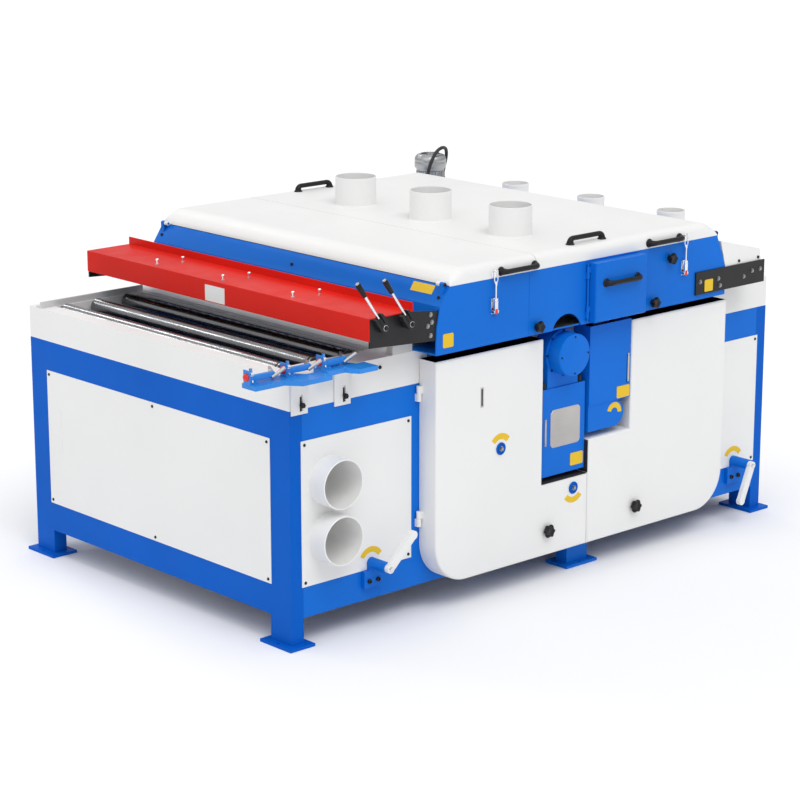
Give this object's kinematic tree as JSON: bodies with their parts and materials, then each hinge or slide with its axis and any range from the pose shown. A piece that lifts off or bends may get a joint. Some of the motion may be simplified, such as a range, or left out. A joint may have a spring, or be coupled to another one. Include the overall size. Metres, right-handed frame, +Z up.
{
  "type": "multi rip saw",
  "caption": "Floor-standing multi rip saw: roller in-feed table, red kick-back guard, blue hood with white hinged lids and dust collars, drive doors and out-feed cover on a welded frame.",
  "frame": {"origin": "on the floor, midway between the four anchor holes of the corner feet", "axes": "+X along the feed, from in-feed to out-feed; +Y away from the drive side, across the feed; +Z up"},
  "size_m": [2.952, 2.011, 1.48],
  "materials": {
    "blue_paint": "gloss enamel",
    "white_paint": "satin powder coat",
    "red_paint": "gloss enamel",
    "black_paint": "satin",
    "grey_paint": "semi-gloss",
    "bare_steel": "machined",
    "bright_steel": "zinc and chrome plate",
    "cast_iron": "machined faces",
    "black_plastic": "moulded",
    "red_plastic": "moulded",
    "rubber": "matt"
  },
  "bodies": {
    "root": {"infeed_leg_frame": "blue_paint", "outfeed_leg_frame": "blue_paint", "side_rails": "blue_paint", "infeed_side_panel": "white_paint", "plain_panels": "white_paint", "steel_hardware": "bright_steel", "infeed_table": "white_paint", "outfeed_table": "white_paint", "saw_bed": "cast_iron", "guide_rails": "bare_steel", "clamp_knobs": "black_plastic", "hood_body": "blue_paint", "kickback_guard": "red_paint", "side_plates": "black_paint", "outfeed_cover": "white_paint", "door_hinges": "white_paint", "arbor_drive_cover": "blue_paint", "belt_guard": "blue_paint", "crank_brackets": "blue_paint", "lift_motor": "grey_paint", "motor_conduit": "black_plastic", "bearing_housings": "cast_iron", "main_motors": "grey_paint", "drive_belts": "rubber"},
    "front_lid": {"front_lid": "white_paint", "front_lid_handle": "black_plastic"},
    "rear_lid": {"rear_lid": "white_paint", "rear_lid_handles": "black_plastic"},
    "side_door": {"side_door": "blue_paint", "side_door_handle": "black_plastic"},
    "press_unit_1": {"press_slide_1": "white_paint", "press_plate_1": "blue_paint", "press_caps_1": "red_plastic"},
    "press_unit_2": {"press_slide_2": "white_paint", "press_plate_2": "blue_paint", "press_caps_2": "red_plastic"},
    "infeed_roller_1": {"infeed_roller_1": "bare_steel"},
    "infeed_roller_2": {"infeed_roller_2": "bare_steel"},
    "infeed_roller_3": {"infeed_roller_3": "bare_steel"},
    "press_arm_1": {"press_arm_1": "blue_paint"},
    "press_arm_2": {"press_arm_2": "blue_paint"},
    "press_arm_3": {"press_arm_3": "blue_paint"},
    "latch_front": {"latch_front": "bright_steel"},
    "latch_rear": {"latch_rear": "bright_steel"},
    "finger_row_1": {"finger_row_1": "black_paint"},
    "finger_row_2": {"finger_row_2": "black_paint"},
    "left_door": {"left_door": "white_paint"},
    "right_door": {"right_door": "white_paint"},
    "door_knob_left": {"door_knob_left": "black_plastic"},
    "door_knob_right": {"door_knob_right": "black_plastic"},
    "crank_infeed": {"crank_infeed": "white_paint"},
    "crank_outfeed": {"crank_outfeed": "white_paint"},
    "lower_arbor": {"lower_arbor": "bare_steel"},
    "upper_arbor": {"upper_arbor": "bare_steel"},
    "lower_motor_pulley": {"lower_motor_pulley": "bare_steel"},
    "upper_motor_pulley": {"upper_motor_pulley": "bare_steel"},
    "feed_roller_in": {"feed_roller_in": "bare_steel"},
    "feed_roller_out": {"feed_roller_out": "bare_steel"},
    "pressure_roller_in": {"pressure_roller_in": "rubber"},
    "pressure_roller_out": {"pressure_roller_out": "rubber"}
  },
  "joints": [
    {"name": "infeed_roller_1_spin", "type": "hinge", "parent": "root", "child": "infeed_roller_1", "pos_m": [-1.24, 0, 1.019], "axis": [0, 1, 0], "continuous": true},
    {"name": "infeed_roller_2_spin", "type": "hinge", "parent": "root", "child": "infeed_roller_2", "pos_m": [-1.083, 0, 1.019], "axis": [0, 1, 0], "continuous": true},
    {"name": "infeed_roller_3_spin", "type": "hinge", "parent": "root", "child": "infeed_roller_3", "pos_m": [-0.926, 0, 1.019], "axis": [0, 1, 0], "continuous": true},
    {"name": "press_unit_1_height", "type": "slide", "parent": "root", "child": "press_unit_1", "axis": [0, 0, 1], "range_m": [-0.018, 0.017]},
    {"name": "press_unit_2_height", "type": "slide", "parent": "root", "child": "press_unit_2", "axis": [0, 0, 1], "range_m": [-0.018, 0.017]},
    {"name": "press_arm_1_swing", "type": "hinge", "parent": "press_unit_1", "child": "press_arm_1", "pos_m": [-1.549, -0.8622, 1.074], "axis": [0, 0, 1], "range_deg": [-12, 0], "stiffness_Nm_per_rad": 4, "springref_deg": 5.73},
    {"name": "press_arm_2_swing", "type": "hinge", "parent": "press_unit_1", "child": "press_arm_2", "pos_m": [-1.379, -0.8622, 1.074], "axis": [0, 0, 1], "range_deg": [-12, 0], "stiffness_Nm_per_rad": 4, "springref_deg": 5.73},
    {"name": "press_arm_3_swing", "type": "hinge", "parent": "press_unit_2", "child": "press_arm_3", "pos_m": [-1.209, -0.8622, 1.074], "axis": [0, 0, 1], "range_deg": [-12, 0], "stiffness_Nm_per_rad": 4, "springref_deg": 5.73},
    {"name": "front_lid_hinge", "type": "hinge", "parent": "root", "child": "front_lid", "pos_m": [-0.668, 0, 1.306], "axis": [0, -1, 0], "range_deg": [0, 95]},
    {"name": "rear_lid_hinge", "type": "hinge", "parent": "root", "child": "rear_lid", "pos_m": [0.878, 0, 1.306], "axis": [0, 1, 0], "range_deg": [0, 95]},
    {"name": "latch_front_swing", "type": "hinge", "parent": "root", "child": "latch_front", "pos_m": [-0.427, -0.959, 1.172], "axis": [1, 0, 0], "range_deg": [0, 70]},
    {"name": "latch_rear_swing", "type": "hinge", "parent": "root", "child": "latch_rear", "pos_m": [0.658, -0.959, 1.172], "axis": [1, 0, 0], "range_deg": [0, 70]},
    {"name": "side_door_hinge", "type": "hinge", "parent": "root", "child": "side_door", "pos_m": [0.087, -0.953, 1.172], "axis": [0, 0, -1], "range_deg": [0, 100]},
    {"name": "finger_row_1_lift", "type": "hinge", "parent": "root", "child": "finger_row_1", "pos_m": [-0.991, 0, 1.195], "axis": [0, -1, 0], "range_deg": [0, 20]},
    {"name": "finger_row_2_lift", "type": "hinge", "parent": "root", "child": "finger_row_2", "pos_m": [-0.876, 0, 1.195], "axis": [0, -1, 0], "range_deg": [0, 20]},
    {"name": "left_door_hinge", "type": "hinge", "parent": "root", "child": "left_door", "pos_m": [-0.712, -0.838, 0.56], "axis": [0, 0, -1], "range_deg": [0, 85]},
    {"name": "right_door_hinge", "type": "hinge", "parent": "root", "child": "right_door", "pos_m": [0.981, -0.838, 0.56], "axis": [0, 0, 1], "range_deg": [0, 85]},
    {"name": "door_knob_left_turn", "type": "hinge", "parent": "left_door", "child": "door_knob_left", "pos_m": [-0.093, -0.933, 0.222], "axis": [0, 1, 0], "range_deg": [0, 90]},
    {"name": "door_knob_right_turn", "type": "hinge", "parent": "right_door", "child": "door_knob_right", "pos_m": [0.418, -0.933, 0.222], "axis": [0, 1, 0], "range_deg": [0, 90]},
    {"name": "crank_infeed_turn", "type": "hinge", "parent": "root", "child": "crank_infeed", "pos_m": [-0.95, -0.905, 0.255], "axis": [0, 1, 0], "continuous": true},
    {"name": "crank_outfeed_turn", "type": "hinge", "parent": "root", "child": "crank_outfeed", "pos_m": [1.152, -0.905, 0.255], "axis": [0, 1, 0], "continuous": true},
    {"name": "lower_arbor_spin", "type": "hinge", "parent": "root", "child": "lower_arbor", "pos_m": [0.008, 0, 0.933], "axis": [0, 1, 0], "continuous": true},
    {"name": "upper_arbor_spin", "type": "hinge", "parent": "root", "child": "upper_arbor", "pos_m": [0.25, 0, 1.172], "axis": [0, 1, 0], "continuous": true},
    {"name": "lower_motor_spin", "type": "hinge", "parent": "root", "child": "lower_motor_pulley", "pos_m": [0.012, -0.825, 0.549], "axis": [0, 1, 0], "continuous": true},
    {"name": "upper_motor_spin", "type": "hinge", "parent": "root", "child": "upper_motor_pulley", "pos_m": [0.275, -0.825, 0.763], "axis": [0, 1, 0], "continuous": true},
    {"name": "feed_roller_in_spin", "type": "hinge", "parent": "root", "child": "feed_roller_in", "pos_m": [-0.48, 0, 0.996], "axis": [0, 1, 0], "continuous": true},
    {"name": "feed_roller_out_spin", "type": "hinge", "parent": "root", "child": "feed_roller_out", "pos_m": [0.56, 0, 0.996], "axis": [0, 1, 0], "continuous": true},
    {"name": "pressure_roller_in_spin", "type": "hinge", "parent": "root", "child": "pressure_roller_in", "pos_m": [-0.48, 0, 1.156], "axis": [0, 1, 0], "continuous": true},
    {"name": "pressure_roller_out_spin", "type": "hinge", "parent": "root", "child": "pressure_roller_out", "pos_m": [0.56, 0, 1.156], "axis": [0, 1, 0], "continuous": true}
  ],
  "couplings": [
    {"joint": "lower_motor_spin", "follows": "lower_arbor_spin", "ratio": 0.90909},
    {"joint": "upper_motor_spin", "follows": "upper_arbor_spin", "ratio": 0.90909},
    {"joint": "feed_roller_out_spin", "follows": "feed_roller_in_spin", "ratio": 1},
    {"joint": "pressure_roller_in_spin", "follows": "feed_roller_in_spin", "ratio": -1},
    {"joint": "pressure_roller_out_spin", "follows": "feed_roller_in_spin", "ratio": -1}
  ]
}
